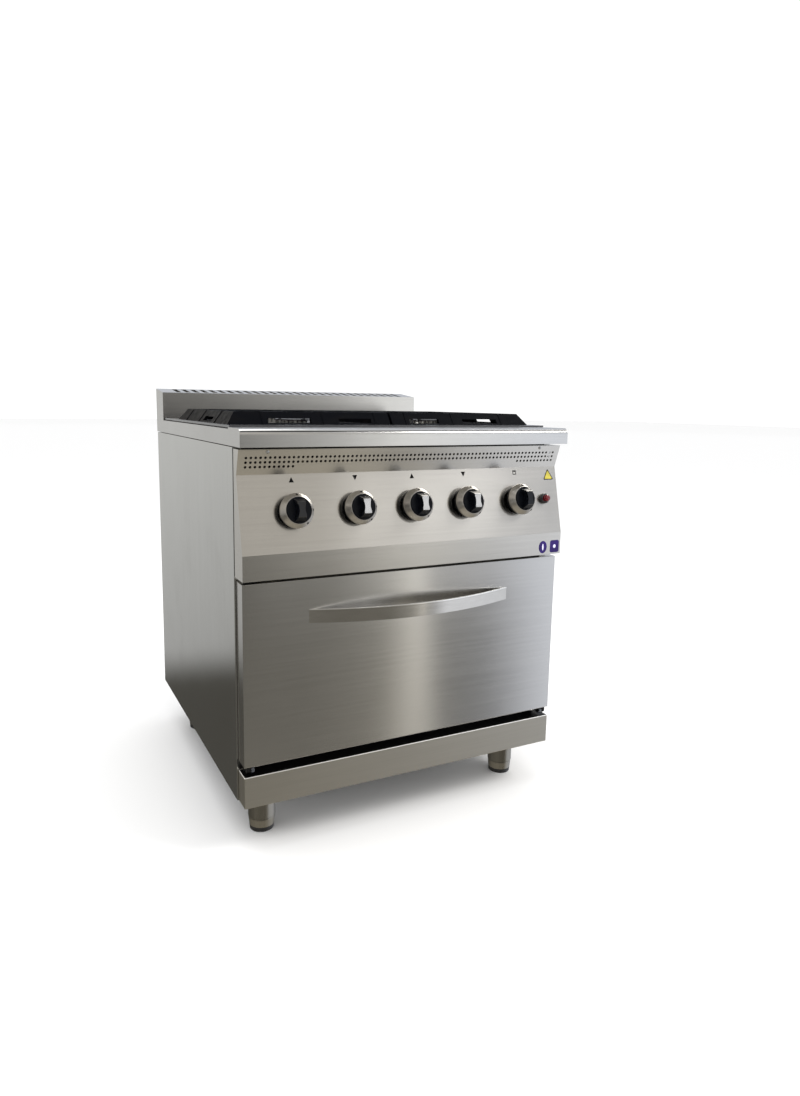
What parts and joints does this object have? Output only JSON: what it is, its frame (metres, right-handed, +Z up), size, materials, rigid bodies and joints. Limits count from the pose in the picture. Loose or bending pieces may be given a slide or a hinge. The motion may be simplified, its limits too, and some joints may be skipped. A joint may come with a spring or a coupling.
{
  "type": "commercial gas range",
  "caption": "Free-standing commercial gas range: open-burner hob with lift-off trivets, slanted knob panel, slotted flue, drop-down oven door and adjustable legs.",
  "frame": {"origin": "on the floor under the middle of the range's bounding box", "axes": "+Z up, the front (knobs, door handle) faces -Y, +X to the right seen from the front"},
  "size_m": [0.8, 0.8831, 0.9855],
  "materials": {
    "cabinet_steel": "brushed stainless sheet",
    "galvanised": "dull galvanised sheet",
    "panel_steel": "satin stainless sheet",
    "hob_steel": "satin stainless sheet",
    "tray_steel": "dark enamelled sheet",
    "leg_steel": "brushed tube with a black base",
    "cast_iron": "black enamelled casting",
    "burner_metal": "machined casting",
    "burner_cap": "black enamel",
    "cast_grey": "raw casting",
    "knob_black": "glossy moulded plastic",
    "ring_satin": "satin ring",
    "brass": "turned brass",
    "gas_pipe": "zinc-yellow pipe",
    "button_red": "glossy red plastic",
    "igniter_black": "black plastic",
    "oven_enamel": "dark vitreous enamel",
    "wool": "mineral wool",
    "wire_chrome": "bright wire",
    "gasket_black": "woven seal",
    "door_steel": "brushed stainless sheet",
    "liner_steel": "stainless sheet",
    "handle_steel": "brushed flat bar",
    "hinge_steel": "black oxide",
    "screw_steel": "zinc plated"
  },
  "bodies": {
    "cabinet": {"side_panel_left": "cabinet_steel", "side_panel_right": "cabinet_steel", "plinth_panel": "cabinet_steel", "back_panel": "galvanised", "base_pan": "galvanised", "flue_duct": "galvanised", "burner_supports": "galvanised", "control_panel": "panel_steel", "hob_top": "hob_steel", "flue_housing": "hob_steel", "drip_tray": "tray_steel", "leg_sleeves": "leg_steel", "sole_plate": "cast_iron", "crown_front_left": "burner_metal", "cap_front_left": "burner_cap", "crown_rear_left": "burner_metal", "cap_rear_left": "burner_cap", "crown_front_right": "burner_metal", "cap_front_right": "burner_cap", "crown_rear_right": "burner_metal", "cap_rear_right": "burner_cap", "mixing_tubes": "cast_grey", "oven_burner": "cast_grey", "hob_taps": "brass", "oven_thermostat": "brass", "gas_rail": "gas_pipe", "igniter_body": "igniter_black", "oven_liner": "oven_enamel", "oven_insulation": "wool", "oven_shelf": "wire_chrome", "shelf_rails": "wire_chrome", "door_gasket": "gasket_black", "panel_screws": "screw_steel"},
    "door": {"door_skin": "door_steel", "door_liner": "liner_steel", "door_insulation": "wool", "door_handle": "handle_steel", "door_hinges": "hinge_steel"},
    "trivet_left": {"trivet_left": "cast_iron"},
    "trivet_right": {"trivet_right": "cast_iron"},
    "foot_front_left": {"foot_front_left": "leg_steel"},
    "foot_front_right": {"foot_front_right": "leg_steel"},
    "foot_rear_left": {"foot_rear_left": "leg_steel"},
    "foot_rear_right": {"foot_rear_right": "leg_steel"},
    "igniter_button": {"igniter_button": "button_red"},
    "spindle_1": {"spindle_1": "brass"},
    "knob_1": {"knob_1": "knob_black", "ring_1": "ring_satin"},
    "spindle_2": {"spindle_2": "brass"},
    "knob_2": {"knob_2": "knob_black", "ring_2": "ring_satin"},
    "spindle_3": {"spindle_3": "brass"},
    "knob_3": {"knob_3": "knob_black", "ring_3": "ring_satin"},
    "spindle_4": {"spindle_4": "brass"},
    "knob_4": {"knob_4": "knob_black", "ring_4": "ring_satin"},
    "spindle_oven": {"spindle_oven": "brass"},
    "knob_oven": {"knob_oven": "knob_black", "ring_oven": "ring_satin"}
  },
  "joints": [
    {"name": "door_hinge", "type": "hinge", "parent": "cabinet", "child": "door", "pos_m": [0, -0.3814, 0.19], "axis": [1, 0, 0], "range_deg": [0, 90]},
    {"name": "push_1", "type": "slide", "parent": "cabinet", "child": "spindle_1", "axis": [0, 0.9748, -0.2229], "range_m": [0, 0.004], "stiffness_N_per_m": 900, "springref_m": -0.004},
    {"name": "turn_1", "type": "hinge", "parent": "spindle_1", "child": "knob_1", "pos_m": [-0.283, -0.38748, 0.73125], "axis": [0, -0.9748, 0.2229], "range_deg": [0, 240]},
    {"name": "push_2", "type": "slide", "parent": "cabinet", "child": "spindle_2", "axis": [0, 0.9748, -0.2229], "range_m": [0, 0.004], "stiffness_N_per_m": 900, "springref_m": -0.004},
    {"name": "turn_2", "type": "hinge", "parent": "spindle_2", "child": "knob_2", "pos_m": [-0.14, -0.38748, 0.73125], "axis": [0, -0.9748, 0.2229], "range_deg": [0, 240]},
    {"name": "push_3", "type": "slide", "parent": "cabinet", "child": "spindle_3", "axis": [0, 0.9748, -0.2229], "range_m": [0, 0.004], "stiffness_N_per_m": 900, "springref_m": -0.004},
    {"name": "turn_3", "type": "hinge", "parent": "spindle_3", "child": "knob_3", "pos_m": [-0.002, -0.38748, 0.73125], "axis": [0, -0.9748, 0.2229], "range_deg": [0, 240]},
    {"name": "push_4", "type": "slide", "parent": "cabinet", "child": "spindle_4", "axis": [0, 0.9748, -0.2229], "range_m": [0, 0.004], "stiffness_N_per_m": 900, "springref_m": -0.004},
    {"name": "turn_4", "type": "hinge", "parent": "spindle_4", "child": "knob_4", "pos_m": [0.132, -0.38748, 0.73125], "axis": [0, -0.9748, 0.2229], "range_deg": [0, 240]},
    {"name": "push_oven", "type": "slide", "parent": "cabinet", "child": "spindle_oven", "axis": [0, 0.9748, -0.2229], "range_m": [0, 0.004], "stiffness_N_per_m": 900, "springref_m": -0.004},
    {"name": "turn_oven", "type": "hinge", "parent": "spindle_oven", "child": "knob_oven", "pos_m": [0.2754, -0.38748, 0.73125], "axis": [0, -0.9748, 0.2229], "range_deg": [0, 270]},
    {"name": "igniter_press", "type": "slide", "parent": "cabinet", "child": "igniter_button", "axis": [0, 0.9748, -0.2229], "range_m": [0, 0.005], "stiffness_N_per_m": 400, "springref_m": -0.004},
    {"name": "lift_trivet_left", "type": "slide", "parent": "cabinet", "child": "trivet_left", "axis": [0, 0, 1], "range_m": [0, 0.12]},
    {"name": "lift_trivet_right", "type": "slide", "parent": "cabinet", "child": "trivet_right", "axis": [0, 0, 1], "range_m": [0, 0.12]},
    {"name": "screw_out_foot_front_left", "type": "slide", "parent": "cabinet", "child": "foot_front_left", "axis": [0, 0, -1], "range_m": [0, 0.03]},
    {"name": "screw_out_foot_front_right", "type": "slide", "parent": "cabinet", "child": "foot_front_right", "axis": [0, 0, -1], "range_m": [0, 0.03]},
    {"name": "screw_out_foot_rear_left", "type": "slide", "parent": "cabinet", "child": "foot_rear_left", "axis": [0, 0, -1], "range_m": [0, 0.03]},
    {"name": "screw_out_foot_rear_right", "type": "slide", "parent": "cabinet", "child": "foot_rear_right", "axis": [0, 0, -1], "range_m": [0, 0.03]}
  ]
}
